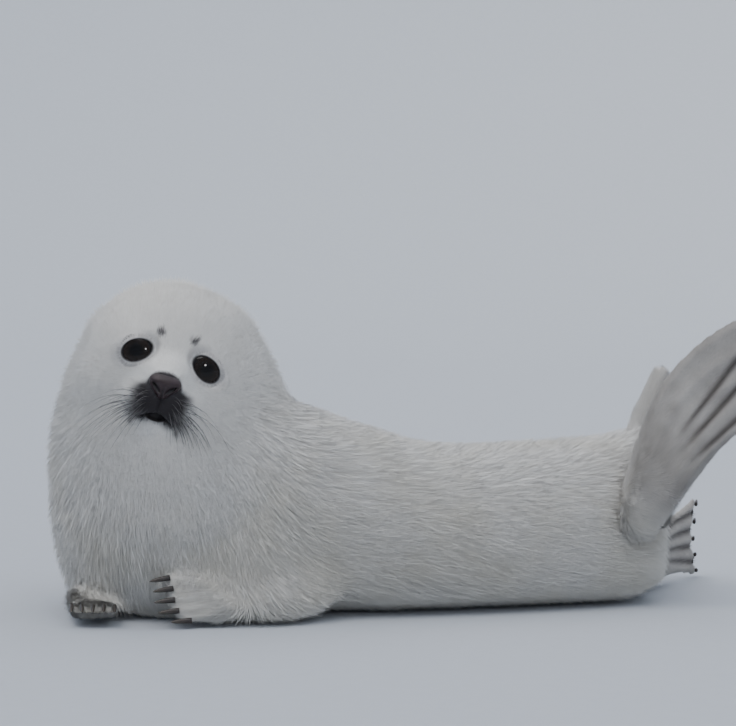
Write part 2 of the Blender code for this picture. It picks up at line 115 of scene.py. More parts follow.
# Plugs that close the CAD's sockets and mouth before the skin is made.
EYE_PLUG = {"radius1": 0.0175, "radius2": 0.0165, "depth": 0.014}
EYE_PLUG_AHEAD = 0.0120
MOUTH_PLUG = (0.0110, 0.0110, 0.0068)
MOUTH_PLUG_AT = (0.0370, 0.0, -0.0530)
CLAW_ROOT = 0.0045  # how much further into the flipper a claw starts than in the CAD

NOSE = np.array([0.0478, 0.0, -0.0226])  # middle of the nose pad, in head coordinates
NOSE_REACH = np.array([0.0145, 0.0172, 0.0128])  # how far the bare skin round it reaches
MOUTH_MIDDLE = -0.0520  # up
OPENING_MIDDLE = -0.0556
MOUTH_HALF = 0.026
MOUTH_DROOP = 0.015
BROW = (0.0164, 0.0204)  # left and up of the whisker spots over the eyes
EAR = (-0.048, 0.088, -0.012)
WHISKER_ROWS, LONG_ROWS = 7, (1, 2, 3, 4)
WHISKER_LENGTH = (0.020, 0.060)  # next to the nose and at the end of a row
WHISKER_THICK, BROW_HAIR_THICK, HAIR_TIP = 0.00032, 0.00022, 0.00008

COAT_WHITE = (0.905, 0.890, 0.850)
STAIN = (0.66, 0.60, 0.40)
# grey of the hind flippers and tail, partly their own colour and partly painted shade
FLIPPER_GREY_AND_SHADE = (0.40, 0.375, 0.35)
FOLD_SHADE = (0.33, 0.29, 0.23)  # painted shade in the coat's fold where a hind flipper leaves the body
# painted shade in the grooves between a flipper's digits
GROOVE_SHADE = (0.085, 0.072, 0.066)
MUZZLE_DARK = (0.034, 0.030, 0.033)
LID_DARK = (0.018, 0.015, 0.016)
EYE_RING = (0.50, 0.47, 0.48)
BROW_DARK = (0.075, 0.068, 0.075)
# painted shade for the ear opening
EAR_HOLE_SHADE = (0.30, 0.28, 0.28)
BARE_SHADE = 0.94  # of the skin, for that of the coat over it

CAMERA_LENS = 107.6  # millimetres, for 36 mm across
CAMERA_TILT = 87.0  # degrees up from straight down
CAMERA_RIGHT = 0.3360  # of the breast
CAMERA_AWAY = 2.4335  # before the chest's far side
CAMERA_HEIGHT = 0.38
FLOOR_FLAT, FLOOR_SWEEP, WALL_TOP = 4.5, 3.0, 8.0
SUN_SPREAD = 60.0  # degrees
SUN_TARGET = (0.0, 0.0, 0.15)
CATCH_AT = (2.2, 0.45, 1.05)  # head coordinates


# ---- small helpers
def unit(v):
    return v / np.maximum(norm(v, axis=-1, keepdims=True), 1e-12)


def step(x, low, high):
    t = np.clip((x - low) / (high - low), 0.0, 1.0)
    return t * t * (3 - 2 * t)


def bell(x, width):
    return np.exp(-((x / width) ** 2))


def mix(a, b, t):
    return a + (b - a) * t


TABLE = rng.uniform(-1, 1, 4096)


def noise(points, size, seed=0):
    """Smooth noise from -1 to 1 over space, with features about size across."""
    q = points / size + seed * 17.3
    cell = np.floor(q).astype(np.int64)
    f = q - cell
    f = f * f * (3 - 2 * f)
    total = np.zeros(len(points))
    for corner in range(8):
        off = np.array([(corner >> k) & 1 for k in range(3)])
        c = cell + off
        key = (c[:, 0] * 73856093) ^ (c[:, 1] * 19349663) ^ (c[:, 2] * 83492791) ^ (seed * 911)
        weight = np.prod(np.where(off, f, 1 - f), axis=1)
        total += TABLE[key & 4095] * weight
    return total


def middle(node):
    low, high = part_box(node)
    return (np.array(low) + np.array(high)) / 2


def in_scene(name, data):
    obj = bpy.data.objects.new(name, data)
    bpy.context.scene.collection.objects.link(obj)
    return obj


def mesh_of(bm, name):
    mesh = bpy.data.meshes.new(name)
    bm.to_mesh(mesh)
    bm.free()
    return mesh


def new_object(name, verts, faces):
    """A mesh object from arrays; faces is an array of equal-sided faces."""
    verts, faces = np.asarray(verts, np.float32), np.asarray(faces, np.int32)
    sides = faces.shape[1]
    mesh = bpy.data.meshes.new(name)
    mesh.vertices.add(len(verts))
    mesh.vertices.foreach_set("co", verts.ravel())
    mesh.loops.add(faces.size)
    mesh.loops.foreach_set("vertex_index", faces.ravel())
    mesh.polygons.add(len(faces))
    mesh.polygons.foreach_set("loop_start", np.arange(0, faces.size, sides, dtype=np.int32))
    set_smooth(mesh)
    mesh.update(calc_edges=True)
    return in_scene(name, mesh)


def ring_pairs(rings, around, start=0):
    """Each vertex of all rings but the last, with the next one round its ring."""
    for first in range(start, start + (rings - 1) * around, around):
        for k in range(around):
            yield first + k, first + (k + 1) % around


def tube_faces(rings, around, start=0):
    """The faces of a closed tube: its rings come first, then its root and its tip."""
    root, last = start + rings * around, start + (rings - 1) * around
    faces = []
    for a, b in ring_pairs(rings, around, start):
        faces += [(a, b, b + around), (a, b + around, a + around)]
    for n in range(around):
        m = (n + 1) % around
        faces += [(root, start + m, start + n), (root + 1, last + n, last + m)]
    return faces


def fetch(items, name, width, kind=np.float32):
    """What each item has by that name, a row for each."""
    flat = np.empty(len(items) * width, kind)
    items.foreach_get(name, flat)
    return flat.reshape(-1, width)


def coords(mesh):
    return fetch(mesh.vertices, "co", 3).astype(float)


def set_coords(mesh, points):
    mesh.vertices.foreach_set("co", points.astype(np.float32).ravel())
    mesh.update()


def set_smooth(mesh):
    mesh.polygons.foreach_set("use_smooth", np.ones(len(mesh.polygons), bool))


def set_colours(mesh, name, colours):
    layer = mesh.attributes.new(name, "FLOAT_COLOR", "POINT")
    rgba = np.ones((len(colours), 4), np.float32)
    rgba[:, :3] = colours
    layer.data.foreach_set("color", rgba.ravel())


def set_floats(mesh, name, values):
    layer = mesh.attributes.new(name, "FLOAT", "POINT")
    layer.data.foreach_set("value", np.asarray(values, np.float32))


def get_floats(mesh, name):
    return fetch(mesh.attributes[name].data, "value", 1)[:, 0].astype(float)


# ---- landmarks
cad_eye = {1: middle("eye_left"), -1: middle("eye_right")}
head_origin = (cad_eye[1] + cad_eye[-1]) / 2
head_left = unit(cad_eye[1] - cad_eye[-1])
to_nose = middle("nose") - head_origin
to_nose = unit(to_nose - head_left * (to_nose @ head_left))
above = np.cross(to_nose, head_left)
angle = radians(NOSE_BELOW_FORWARD)
head_forward = to_nose * cos(angle) + above * sin(angle)
HEAD_AXES = np.array([head_forward, head_left, np.cross(head_forward, head_left)])


def to_head(points):
    return (points - head_origin) @ HEAD_AXES.T


def from_head(points):
    return np.asarray(points) @ HEAD_AXES + head_origin


def from_muzzle(head):
    """How far points in head coordinates are from the middle of the muzzle."""
    return norm(head - MUZZLE, axis=1)


FORE = ("fore_flipper_left", "fore_flipper_right")
HIND = ("hind_flipper_left", "hind_flipper_right")
FLIPPERS = (*FORE, *HIND)


def kind_of(flipper):
    return flipper.split("_")[0]


def claw_names(flipper):
    kind, _, side = flipper.split("_")
    return [f"claw_{kind}_{side}_{n}" for n in range(1, 6)]


def middle_to_claws(flipper):
    """From a flipper's middle to the middle of its claws."""
    return np.mean([middle(name) for name in claw_names(flipper)], axis=0) - middle(flipper)


WAYS = {name: unit(middle_to_claws(name)) for name in FLIPPERS}


def flipper_reach(points, flipper):
    """How far along a flipper each point is: -1 at its root, 1 at its claws."""
    half = norm(middle_to_claws(flipper))
    return (points - middle(flipper)) @ WAYS[flipper] / half


def flipper_groove(points, flipper):
    """1 in the grooves between a flipper's digits, on both faces, deepest near its end."""
    claws = np.array([middle(name) for name in claw_names(flipper)])
    ends = (claws[1:] + claws[:-1]) / 2 - WAYS[flipper] * 0.004
    reach = norm(ends.mean(0) - middle(flipper))
    heart = middle(flipper) - WAYS[flipper] * GROOVE_START[kind_of(flipper)] * reach
    face = unit(np.cross(WAYS[flipper], claws[-1] - claws[0]))
    groove = np.zeros(len(points))
    for end in ends:
        start = heart + GROOVE_FAN * (end - ends.mean(0))
        way = end - start
        t = np.clip((points - start) @ way / (way @ way), 0, 1)
        off = points - start - t[:, None] * way
        off = norm(off - (off @ face)[:, None] * face, axis=1)
        groove = np.maximum(groove, bell(off, mix(*GROOVE_WIDTH, t)) * step(t, 0.0, 0.35))
    return groove


tail_low, tail_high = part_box("tail")
WAYS["tail"] = unit(np.array([tail_high[0] - tail_low[0], 0.02, 2 * (tail_high[2] - tail_low[2])]))

CHEST_X = middle("chest")[0]
RUMP_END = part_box("rump")[1][0]


# ---- an eye's own frame
def eye_axes(side, turn, lift):
    """Rows: along the look, along the slit towards the outer corner, and across the slit."""
    a, b, s = radians(turn), radians(lift), radians(EYE_SLANT)
    look = np.array([cos(a) * cos(b), side * sin(a) * cos(b), sin(b)])
    out = np.array([-sin(a), side * cos(a), 0.0])
    up = side * np.cross(look, out)
    slit = out * cos(s) - up * sin(s)
    return np.array([look, slit, out * sin(s) + up * cos(s)]) @ HEAD_AXES


EYE_AXES = {side: eye_axes(side, EYE_LOOK, EYE_RAISE) for side in (1, -1)}
# an eye turns about the middle of its opening, which stays where the CAD eyeball has it
eye_at = {
    side: cad_eye[side] + (eye_axes(side, EYE_SPOT, 0.0)[0] - EYE_AXES[side][0]) * EYE_APEX
    for side in (1, -1)
}


def to_eye(points, side):
    return (points - eye_at[side]) @ EYE_AXES[side].T


def eye_ratio(local):
    """How far out a point is, where 1 is the edge of the opening; the inner corner is longer."""
    along, across = local[:, 1], local[:, 2]
    long = np.where(along < 0, EYE_SLIT[0] * INNER_CORNER, EYE_SLIT[0])
    return np.sqrt((along / long) ** 2 + (across / EYE_SLIT[1]) ** 2)


def eyeball_front(r):
    """How far along the look the eyeball's face is at r from its axis."""
    deep, wide = EYEBALL
    return EYE_APEX - deep + deep * np.sqrt(1 - np.minimum(r / wide, 0.95) ** 2)


# ---- the skin
FLESH = ("head", "neck", "chest", "trunk", "rump", "tail", *FLIPPERS)


def of_part(weights, name):
    return weights[:, FLESH.index(name)]


def on_flippers(weights):
    return weights[:, FLESH.index(FLIPPERS[0]) :].sum(1)


def skin_weights(mesh):
    return np.stack([get_floats(mesh, "w_" + name) for name in FLESH], 1)


def seam(weight):
    """1 halfway from one part to the next, and 0 inside either."""
    return 4 * weight * (1 - weight)


def frame_matrix(axes, at):
    made = Matrix([list(row) for row in np.asarray(axes).T]).to_4x4()
    made.translation = Vector(at)
    return made


def joined_flesh():
    """The CAD flesh in one mesh, its gaps closed and its eye and mouth openings plugged."""
    bm = bmesh.new()
    for name in (*FLESH, "nose", "eye_left", "eye_right"):
        part = bmesh.new()
        part.from_mesh(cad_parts[name].data)
        bmesh.ops.remove_doubles(part, verts=part.verts[:], dist=1e-6)
        part.normal_update()
        for vert in part.verts:
            vert.co += vert.normal * SWELL
        whole = mesh_of(part, "part")
        bm.from_mesh(whole)
        bpy.data.meshes.remove(whole)
    for side in (1, -1):
        place = frame_matrix(EYE_AXES[side], eye_at[side] + EYE_AXES[side][0] * EYE_PLUG_AHEAD)
        turn = Matrix.Rotation(radians(90), 4, "Y")
        size = Matrix.Diagonal((1.0, 1.05, 0.76, 1.0))
        bmesh.ops.create_cone(
            bm, cap_ends=True, segments=32, **EYE_PLUG, matrix=place @ size @ turn
        )
    place = frame_matrix(HEAD_AXES, from_head(MOUTH_PLUG_AT))
    size = Matrix.Diagonal((*MOUTH_PLUG, 1.0))
    bmesh.ops.create_uvsphere(bm, u_segments=24, v_segments=16, radius=1, matrix=place @ size)
    return mesh_of(bm, "skin_form")


def remeshed(mesh):
    obj = in_scene("skin_form", mesh)
    modifier = obj.modifiers.new("Remesh", "REMESH")
    modifier.mode = "VOXEL"
    modifier.voxel_size = VOXEL
    graph = bpy.context.evaluated_depsgraph_get()
    made = bpy.data.meshes.new_from_object(obj.evaluated_get(graph))
    bpy.data.objects.remove(obj)
    return made


def edge_pairs(mesh):
    return fetch(mesh.edges, "vertices", 2, np.int32)


def relax(values, edges, weight, times, keep_size=False):
    """Moves each value towards the mean of its neighbours; keep_size undoes the shrinking."""
    i = np.r_[edges[:, 0], edges[:, 1]]
    j = np.r_[edges[:, 1], edges[:, 0]]
    count = np.maximum(np.bincount(i, minlength=len(values)), 1)[:, None]
    weight = np.broadcast_to(weight, len(values))[:, None]
    for _ in range(times):
        for factor in (0.5, -0.53) if keep_size else (0.5,):
            total = np.stack(
                [np.bincount(i, values[j, k], len(values)) for k in range(values.shape[1])], 1
            )
            values = values + weight * factor * (total / count - values)
    return values


def vertex_normals(mesh):
    return fetch(mesh.vertices, "normal", 3).astype(float)


def part_weights(points, edges):
    """How much each point belongs to each flesh node, softened across the joins."""
    verts, tris, owner = [], [], []
    count = 0
    for number, name in enumerate(FLESH):
        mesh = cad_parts[name].data
        mesh.calc_loop_triangles()
        verts.extend(v.co.copy() for v in mesh.vertices)
        tris.extend([tuple(k + count for k in t.vertices) for t in mesh.loop_triangles])
        owner.extend([number] * len(mesh.loop_triangles))
        count += len(mesh.vertices)
    tree = BVHTree.FromPolygons(verts, tris)
    found = np.array([owner[tree.find_nearest(Vector(p))[2]] for p in points])
    return relax(np.eye(len(FLESH))[found], edges, 1.0, 10)


def coat_depth(points, normals, weights):
    """How deep the skin lies under the coat's tips at each point."""
    depth = weights @ np.array([COAT_DEPTH[name] for name in FLESH])
    for name in FLIPPERS:
        near = 1 - step(flipper_reach(points, name), -1.0, 0.05)
        depth += of_part(weights, name) * near * (ROOT_DEPTH[kind_of(name)] - COAT_DEPTH[name])
    head = to_head(points)
    far, deep = np.array(FACE_DEPTH).T
    away = norm((head - MUZZLE) * (1.0, 1.0, 0.92), axis=1)
    depth = np.minimum(depth, np.interp(away, far, deep))
    for side in (1, -1):
        local = to_eye(points, side)
        near = norm(local - (EYE_APEX, 0, 0), axis=1)
        depth = np.minimum(depth, 0.0026 + 0.16 * np.maximum(near - 0.018, 0.0))
    on_floor = step(-normals[:, 2], 0.75, 1.0) * (1 - step(points[:, 2], 0.002, 0.012))
    return depth * (1 - 0.40 * on_floor)


def refine(mesh, chosen):
    """Splits the faces among the chosen vertices in four."""
    bm = bmesh.new()
    bm.from_mesh(mesh)
    bm.verts.ensure_lookup_table()
    edges = [e for e in bm.edges if chosen[e.verts[0].index] and chosen[e.verts[1].index]]
    bmesh.ops.subdivide_edges(bm, edges=edges, cuts=1, use_grid_fill=True)
    bm.to_mesh(mesh)
    bm.free()


def set_lids(points):
    """Lids that wrap each eyeball, with a crisp edge and a crease above."""
    for side in (1, -1):
        local = to_eye(points, side)
        near = (norm(local[:, 1:], axis=1) < LID_REACH) & (local[:, 0] > -0.004)
        part = local[near]
        ratio = eye_ratio(part)
        snap = np.abs(ratio - 1) < 0.045
        part[snap, 1:] /= ratio[snap, None]
        ratio = eye_ratio(part)
        front = eyeball_front(norm(part[:, 1:], axis=1))
        upper = step(part[:, 2], -0.004, 0.006)
        lid = front + LID * step(ratio, 0.985, 1.14) + 0.0002
        outer = mix(part[:, 0], lid, 1 - step(ratio, 1.05, 1.85))
        outer -= 0.0004 * bell(ratio - 1.45, 0.10) * upper
        part[:, 0] = np.where(ratio < 1, front - 0.0022, outer)
        points[near] = part @ EYE_AXES[side] + eye_at[side]
    return points


def mouth_height(left):
    """How high the line of the mouth is at each place across the face."""
    return MOUTH_MIDDLE - MOUTH_DROOP * np.minimum(np.abs(left) / MOUTH_HALF, 1.4) ** 1.5


def mouth_opening(head):
    """Under 1 inside the parted lips."""
    return np.hypot(head[:, 1] / 0.0090, (head[:, 2] - OPENING_MIDDLE) / 0.0042)


def set_mouth(points):
    head = to_head(points)
    ahead, left, up = head.T
    gap = up - mouth_height(left)
    ends = 1 - step(np.abs(left), MOUTH_HALF - 0.006, MOUTH_HALF + 0.002)
    shift = -0.0030 * bell(gap, 0.0013) * ends
    shift += 0.0011 * bell(gap - 0.0042, 0.0030) * ends
    shift += 0.0010 * bell(gap + 0.0046, 0.0030) * ends
    inside = mouth_opening(head)
    shift -= 0.0075 * np.sqrt(np.maximum(1 - inside**2, 0))
    shift += 0.0012 * bell(inside - 1.25, 0.22) * (up < OPENING_MIDDLE)
    groove = bell(left, 0.0013) * step(up, MOUTH_MIDDLE - 0.001, MOUTH_MIDDLE + 0.004)
    groove *= 1 - step(up, -0.034, -0.029)
    shift -= 0.0019 * groove
    behind = np.hypot(left / 0.0125, (up - NOSE[2]) / 0.0085)
    shift -= 0.0050 * (1 - step(behind, 0.75, 1.05))
    shift *= (np.abs(left) < 0.045) & (up < 0.0) & (up > -0.1)
    head[:, 0] += shift * step(ahead, 0.005, 0.018)
    return from_head(head)


def smooth_form(mesh, edges):
    """Smooths the plump parts and the joins; gives points, weights, thin parts and fold."""
    points = coords(mesh)
    weights = part_weights(points, edges)
    face = 1 - step(from_muzzle(to_head(points)), 0.06, 0.10)
    thin = np.clip(on_flippers(weights) + of_part(weights, "tail"), 0, 1)
    plump = np.clip(1 - thin - face, 0, 1)
    fold = seam(of_part(weights, RAISED))
    points = relax(points, edges, plump * (1 - 0.8 * fold), BODY_PASSES)
    weights = relax(weights, edges, 1.0, BLEND_PASSES)
    # the raised flipper is left out, so that the fold round it stays crisp
    joins = seam(weights[:, FLESH.index("tail") :]).sum(1) - seam(of_part(weights, RAISED))
    points = relax(points, edges, np.clip(joins, 0, 1), JOIN_PASSES)
    points = relax(points, edges, face, FACE_PASSES, keep_size=True)
    points = relax(points, edges, thin, FLIPPER_PASSES, keep_size=True)
    set_coords(mesh, points)
    return points, weights, thin, fold


def sink_form(mesh, edges, points, weights, thin, fold):
    """Sinks the skin under the coat; gives how deep."""
    normals = unit(relax(vertex_normals(mesh), edges, 1.0, DEPTH_PASSES))
    depth = coat_depth(points, normals, weights)
    depth = relax(depth[:, None], edges, 1.0, DEPTH_PASSES)[:, 0]
    points = points - normals * (depth + FOLD * fold)[:, None]
    points[:, 2] = np.maximum(points[:, 2], SKIN_GAP)
    set_coords(mesh, relax(points, edges, np.clip(1 - thin, 0.1, 0.6), 2, keep_size=True))
    return depth


def on_face(points):
    """The face, and the skin round the eyes."""
    head = to_head(points)
    chosen = (from_muzzle(head) < 0.078) & (head[:, 0] > -0.02)
    for side in (1, -1):
        local = to_eye(points, side)
        chosen |= (norm(local[:, 1:], axis=1) < LID_REACH) & (local[:, 0] > 0)
    return chosen


def on_edges(points):
    """The lids, and the lips with the groove over them."""
    head = to_head(points)
    ahead, left, up = head.T
    lips = np.abs(up - mouth_height(left)) < 0.008
    lips |= mouth_opening(head) < 1.6
    lips |= (np.abs(left) < 0.004) & (up > -0.06)
    chosen = lips & (np.abs(left) < 0.032) & (ahead > 0.012) & (up > -0.085) & (up < -0.03)
    for side in (1, -1):
        local = to_eye(points, side)
        ratio = eye_ratio(local)
        chosen |= (ratio < 1.75) & (ratio > 0.6) & (local[:, 0] > 0)
    return chosen


def build_skin():
    mesh = remeshed(joined_flesh())
    edges = edge_pairs(mesh)
    points, weights, thin, fold = smooth_form(mesh, edges)
    set_floats(mesh, "depth", sink_form(mesh, edges, points, weights, thin, fold))
    for number, name in enumerate(FLESH):
        set_floats(mesh, "w_" + name, weights[:, number])

    for choose in (on_face, on_edges):
        refine(mesh, choose(coords(mesh)))
        points = coords(mesh)
        near = 1 - step(from_muzzle(to_head(points)), 0.07, 0.10)
        set_coords(mesh, relax(points, edge_pairs(mesh), near, 2, keep_size=True))
    points = set_lids(set_mouth(coords(mesh)))
    groove = np.zeros(len(points))
    for name in FLIPPERS:
        share = step(get_floats(mesh, "w_" + name), 0.3, 0.8) * GROOVE_SHARE[kind_of(name)]
        groove += share * flipper_groove(points, name)
    set_coords(mesh, points - vertex_normals(mesh) * (GROOVE_DEPTH * groove)[:, None])
    set_floats(mesh, "groove", groove)
    set_smooth(mesh)
    return in_scene("skin", mesh)


# ---- markings and painted shade
def muzzle_dark(head):
    """How dark the whisker pads are, in streaks that run out from the nose."""
    ahead, left, up = head.T
    reach = np.hypot(left, up + 0.030)
    turn = np.arctan2(left, -(up + 0.030))
    streak = noise(np.stack([turn * 0.022, reach * 0.16, 0 * reach], 1), 0.0016, 5)
    top = -0.0215 - 0.50 * np.maximum(np.abs(left) - 0.014, 0)
    pads = 1 - step(np.abs(left) + 0.0045 * streak, 0.021, 0.037)
    pads *= 1 - step(up + 0.0015 * streak, top - 0.003, top + 0.004)
    pads *= step(up, -0.0665 - 0.10 * np.abs(left), -0.0560)
    pads *= step(ahead, 0.002, 0.018)
    pads = np.maximum(pads, 1 - step(norm((head - NOSE) / NOSE_REACH, axis=1), 1.0, 1.25))
    return np.clip(pads * (1.0 + 0.25 * streak * step(reach, 0.018, 0.030)), 0, 1)


def tinged(colour, tone, share):
    return mix(colour, np.array(tone), np.clip(share, 0, 1)[:, None])


def markings_and_shade(points, weights, groove, bare=False):
    """The colour of skin or coat at each point, from the parts that it belongs to, with painted
    shade on the hind flippers, in their folds, in the grooves and at the ears.
    """
    head = to_head(points)
    ahead, left, up = head.T
    colour = np.tile(COAT_WHITE, (len(points), 1))
    cloud = noise(points, 0.045, 3) * 0.6 + noise(points, 0.018, 4) * 0.4
    low = 1 - step(points[:, 2], 0.05, 0.17)
    stain = np.clip(0.06 + 0.20 * cloud + 0.10 * low, 0, 0.24)
    colour = tinged(colour, STAIN, stain * step(from_muzzle(head), 0.07, 0.16))
    for name in HIND:
        # grey from the root out: partly the flipper's own colour, partly painted shade
        share = of_part(weights, name) * step(flipper_reach(points, name), -1.6, -0.8)
        share *= 0.86 + 0.14 * noise(points, 0.012, 8)
        colour = tinged(colour, FLIPPER_GREY_AND_SHADE, share)
        # painted shade along the fold round the flipper's root
        colour = tinged(colour, FOLD_SHADE, 0.40 * seam(of_part(weights, name)))
    colour = tinged(colour, FLIPPER_GREY_AND_SHADE, 0.45 * of_part(weights, "tail"))
    # painted shade in the grooves between the digits
    colour = tinged(colour, GROOVE_SHADE, 0.95 * groove)
    colour = tinged(colour, MUZZLE_DARK, muzzle_dark(head))
    lips = bell(up - mouth_height(left), 0.0022) * (1 - step(np.abs(left), 0.016, 0.022))
    lips = np.maximum(lips, bell(np.hypot(np.abs(left) - 0.0235, up + 0.0665), 0.0028) * 0.8)
    lips = np.maximum(lips, 1 - step(mouth_opening(head), 1.05, 1.5)) * step(ahead, 0.0, 0.02)
    colour = tinged(colour, LID_DARK, np.clip(lips, 0, 1) * 0.9)
    for side in (1, -1):
        local = to_eye(points, side)
        ratio = np.where(local[:, 0] > -0.002, eye_ratio(local), 9.0)
        colour = tinged(colour, EYE_RING, 0.34 * (1 - step(ratio, 1.15, 1.9)))
        rim = 1 - step(ratio, 1.06, 1.30) if bare else 0.42 * (1 - step(ratio, 1.10, 1.40))
        colour = tinged(colour, LID_DARK, rim)
        spot = np.hypot((left - side * BROW[0]) * 0.90, (up - BROW[1]) * 1.30)
        spot = 1 - step(spot + 0.0018 * noise(points, 0.0026, 6 + side), 0.0020, 0.0056)
        colour = tinged(colour, BROW_DARK, spot * (ahead > 0) * 0.9)
        # a small spot of painted shade where the ear opening is
        ear = norm(head - (EAR[0], side * EAR[1], EAR[2]), axis=1)
        colour = tinged(colour, EAR_HOLE_SHADE, 0.5 * (1 - step(ear, 0.001, 0.005)))
    return colour * BARE_SHADE if bare else colour


# ---- the coat
def laid(flow, normals):
    """The part of each flow that runs along the skin, one long."""
    return unit(flow - normals * np.sum(flow * normals, axis=1, keepdims=True))


def drift(points, size, seed):
    return np.stack([noise(points, size, seed + k) for k in range(3)], 1)


def coat_lie(points, normals, weights):
    """The way the coat lies at each point, along the skin."""
    head = to_head(points)
    behind = step(points[:, 0], CHEST_X + 0.03, CHEST_X + 0.17)[:, None]
    trunk = np.tile(LIE_BACK, (len(points), 1))
    trunk[:, 2] -= 0.9 * step(points[:, 0], RUMP_END - 0.05, RUMP_END - 0.005)
    flow = mix(np.tile(LIE_DOWN, (len(points), 1)), trunk, behind)
    # close to the floor it is swept level
    low = (1 - step(points[:, 2], 0.006, 0.040))[:, None]
    flow = mix(flow, flow * (1.0, 1.0, 0.1) + (0.35, 0.0, 0.0), low)
    # on the head it runs out from the nose, over the crown and down the nape
    from_nose = unit(points - from_head(PARTING))
    out = unit(head - HEAD_HEART)
    crown = step(out[:, 2], -0.35, 0.35)[:, None] * np.cross(out, (0.0, 1.0, 0.0)) @ HEAD_AXES
    nape = (1 - step(out[:, 0], -0.75, 0.15))[:, None]
    on_head = (1 - step(norm(head - HEAD_HEART, axis=1), 0.095, 0.150))[:, None]
    flow = mix(flow, from_nose + 0.9 * crown + 0.8 * nape * LIE_DOWN, on_head)
    for name, way in WAYS.items():
        share = step(of_part(weights, name), 0.15, 0.85)
        if name in HIND:  # the rounded end of its root keeps the way of the body
            share *= step(flipper_reach(points, name), -1.05, -0.65)
        flow = mix(flow, way, share[:, None])
    # round an eye it runs away from the lids
    for side in (1, -1):
        local = to_eye(points, side)
        share = (1 - step(eye_ratio(local), 1.15, 2.0)) * (local[:, 0] > 0)
        away = unit(local * (0.0, 1.0, 1.0)) @ EYE_AXES[side]
        flow = mix(flow, away, share[:, None])
    # strands wander, and gather in locks
    wander = drift(points, 0.036, 11) * 0.08 + drift(points, 0.0080, 21) * 0.05
    calm = 1 - 0.65 * np.clip(on_flippers(weights), 0, 1)
    near = 1 - step(from_muzzle(head), 0.03, 0.09)
    return laid(laid(flow, normals) + wander * (calm * (1 - 0.6 * near))[:, None], normals)


def sample_roots(mesh, density, count):
    """Random roots over the skin, more where density is higher."""
    mesh.calc_loop_triangles()
    tris, loops = (fetch(mesh.loop_triangles, n, 3, np.int32) for n in ("vertices", "loops"))
    points = coords(mesh)
    a, b, c = (points[tris[:, k]] for k in range(3))
    area = norm(np.cross(b - a, c - a), axis=1) / 2
    chance = np.cumsum(area * density[tris].mean(1))
    # evenly spaced draws along the running total keep the roots evenly spread
    draw = (np.arange(count) + rng.uniform(0, 1, count)) / count * chance[-1]
    chosen = np.minimum(np.searchsorted(chance, draw), len(tris) - 1)
    r, s = np.sqrt(rng.uniform(0, 1, count)), rng.uniform(0, 1, count)
    share = np.stack([1 - r, r * (1 - s), r * s], 1)
    return tris[chosen], loops[chosen], share


def blend(values, corners, share):
    return np.einsum("nk,nkd->nd", share, values[corners])


def coat_density(points, normals, weights, depth):
    """How thickly the coat grows: more tufts where it is short, and none on bare skin."""
    head = to_head(points)
    density = 1.0 + 3.0 * (1 - step(depth, 0.002, 0.009))
    for name in HIND:
        density = mix(density, np.minimum(density, 1.7), of_part(weights, name))
    for side in (1, -1):
        local = to_eye(points, side)
        density *= (eye_ratio(local) >= 1.14) | (local[:, 0] <= 0)
    density *= norm((head - NOSE) / NOSE_REACH, axis=1) > 1
    density *= (mouth_opening(head) > 1.3) | (head[:, 0] < 0.0)
    return density * (1 - 0.75 * step(-normals[:, 2], 0.6, 0.95) * (points[:, 2] < 0.01))


def shape_tufts(root, normal, lie, weight, deep):
    """The corners of each tuft (two at the root, ridge and tip) and the normals there."""
    count = len(root)
    side = np.cross(normal, lie)
    # most tufts are a soft mass, and fine strands stand out of it
    fine = rng.uniform(0, 1, count) < FINE_SHARE
    tall = deep * np.where(fine, rng.uniform(*FINE_TALL, count), rng.uniform(*MASS_TALL, count))
    tall *= 1 + 0.05 * noise(root, 0.020, 31)
    flippers = np.clip(on_flippers(weight), 0, 1)
    lean = mix(*TUFT_LEAN, 1 - step(deep, 0.003, 0.011)) + 0.6 * flippers
    reach = tall * lean * rng.uniform(0.75, 1.30, count) * np.where(fine, 0.7, 1.0)
    for name in FORE:  # so that no eave shades the toes
        toes = of_part(weight, name) * step(flipper_reach(root, name), 0.45, 0.85)
        reach *= 1 - 0.65 * toes
    wide = mix(*TUFT_WIDTH, step(deep, 0.0012, 0.012)) * rng.uniform(0.75, 1.25, count)
    wide *= np.where(fine, FINE_WIDTH, 1.0)
    tall, reach, wide = tall[:, None], reach[:, None], wide[:, None]
    stray = rng.normal(0, 1, (count, 1)) * tall * np.where(fine, 0.16, 0.10)[:, None]
    base = root - normal * 0.0004
    tip = base + lie * reach + normal * tall + side * stray
    ridge = base + lie * reach * 0.38 + normal * tall * 0.45 + side * stray * 0.2
    spread = side * wide / 2
    verts = np.stack([base - spread, base + spread, ridge, tip], 1)
    verts[:, :, 2] = np.maximum(verts[:, :, 2], FLOOR_GAP)
    turned = [normal - side * 0.12, normal + side * 0.12, normal, normal + lie * 0.2]
    return verts, np.stack(turned, 1)


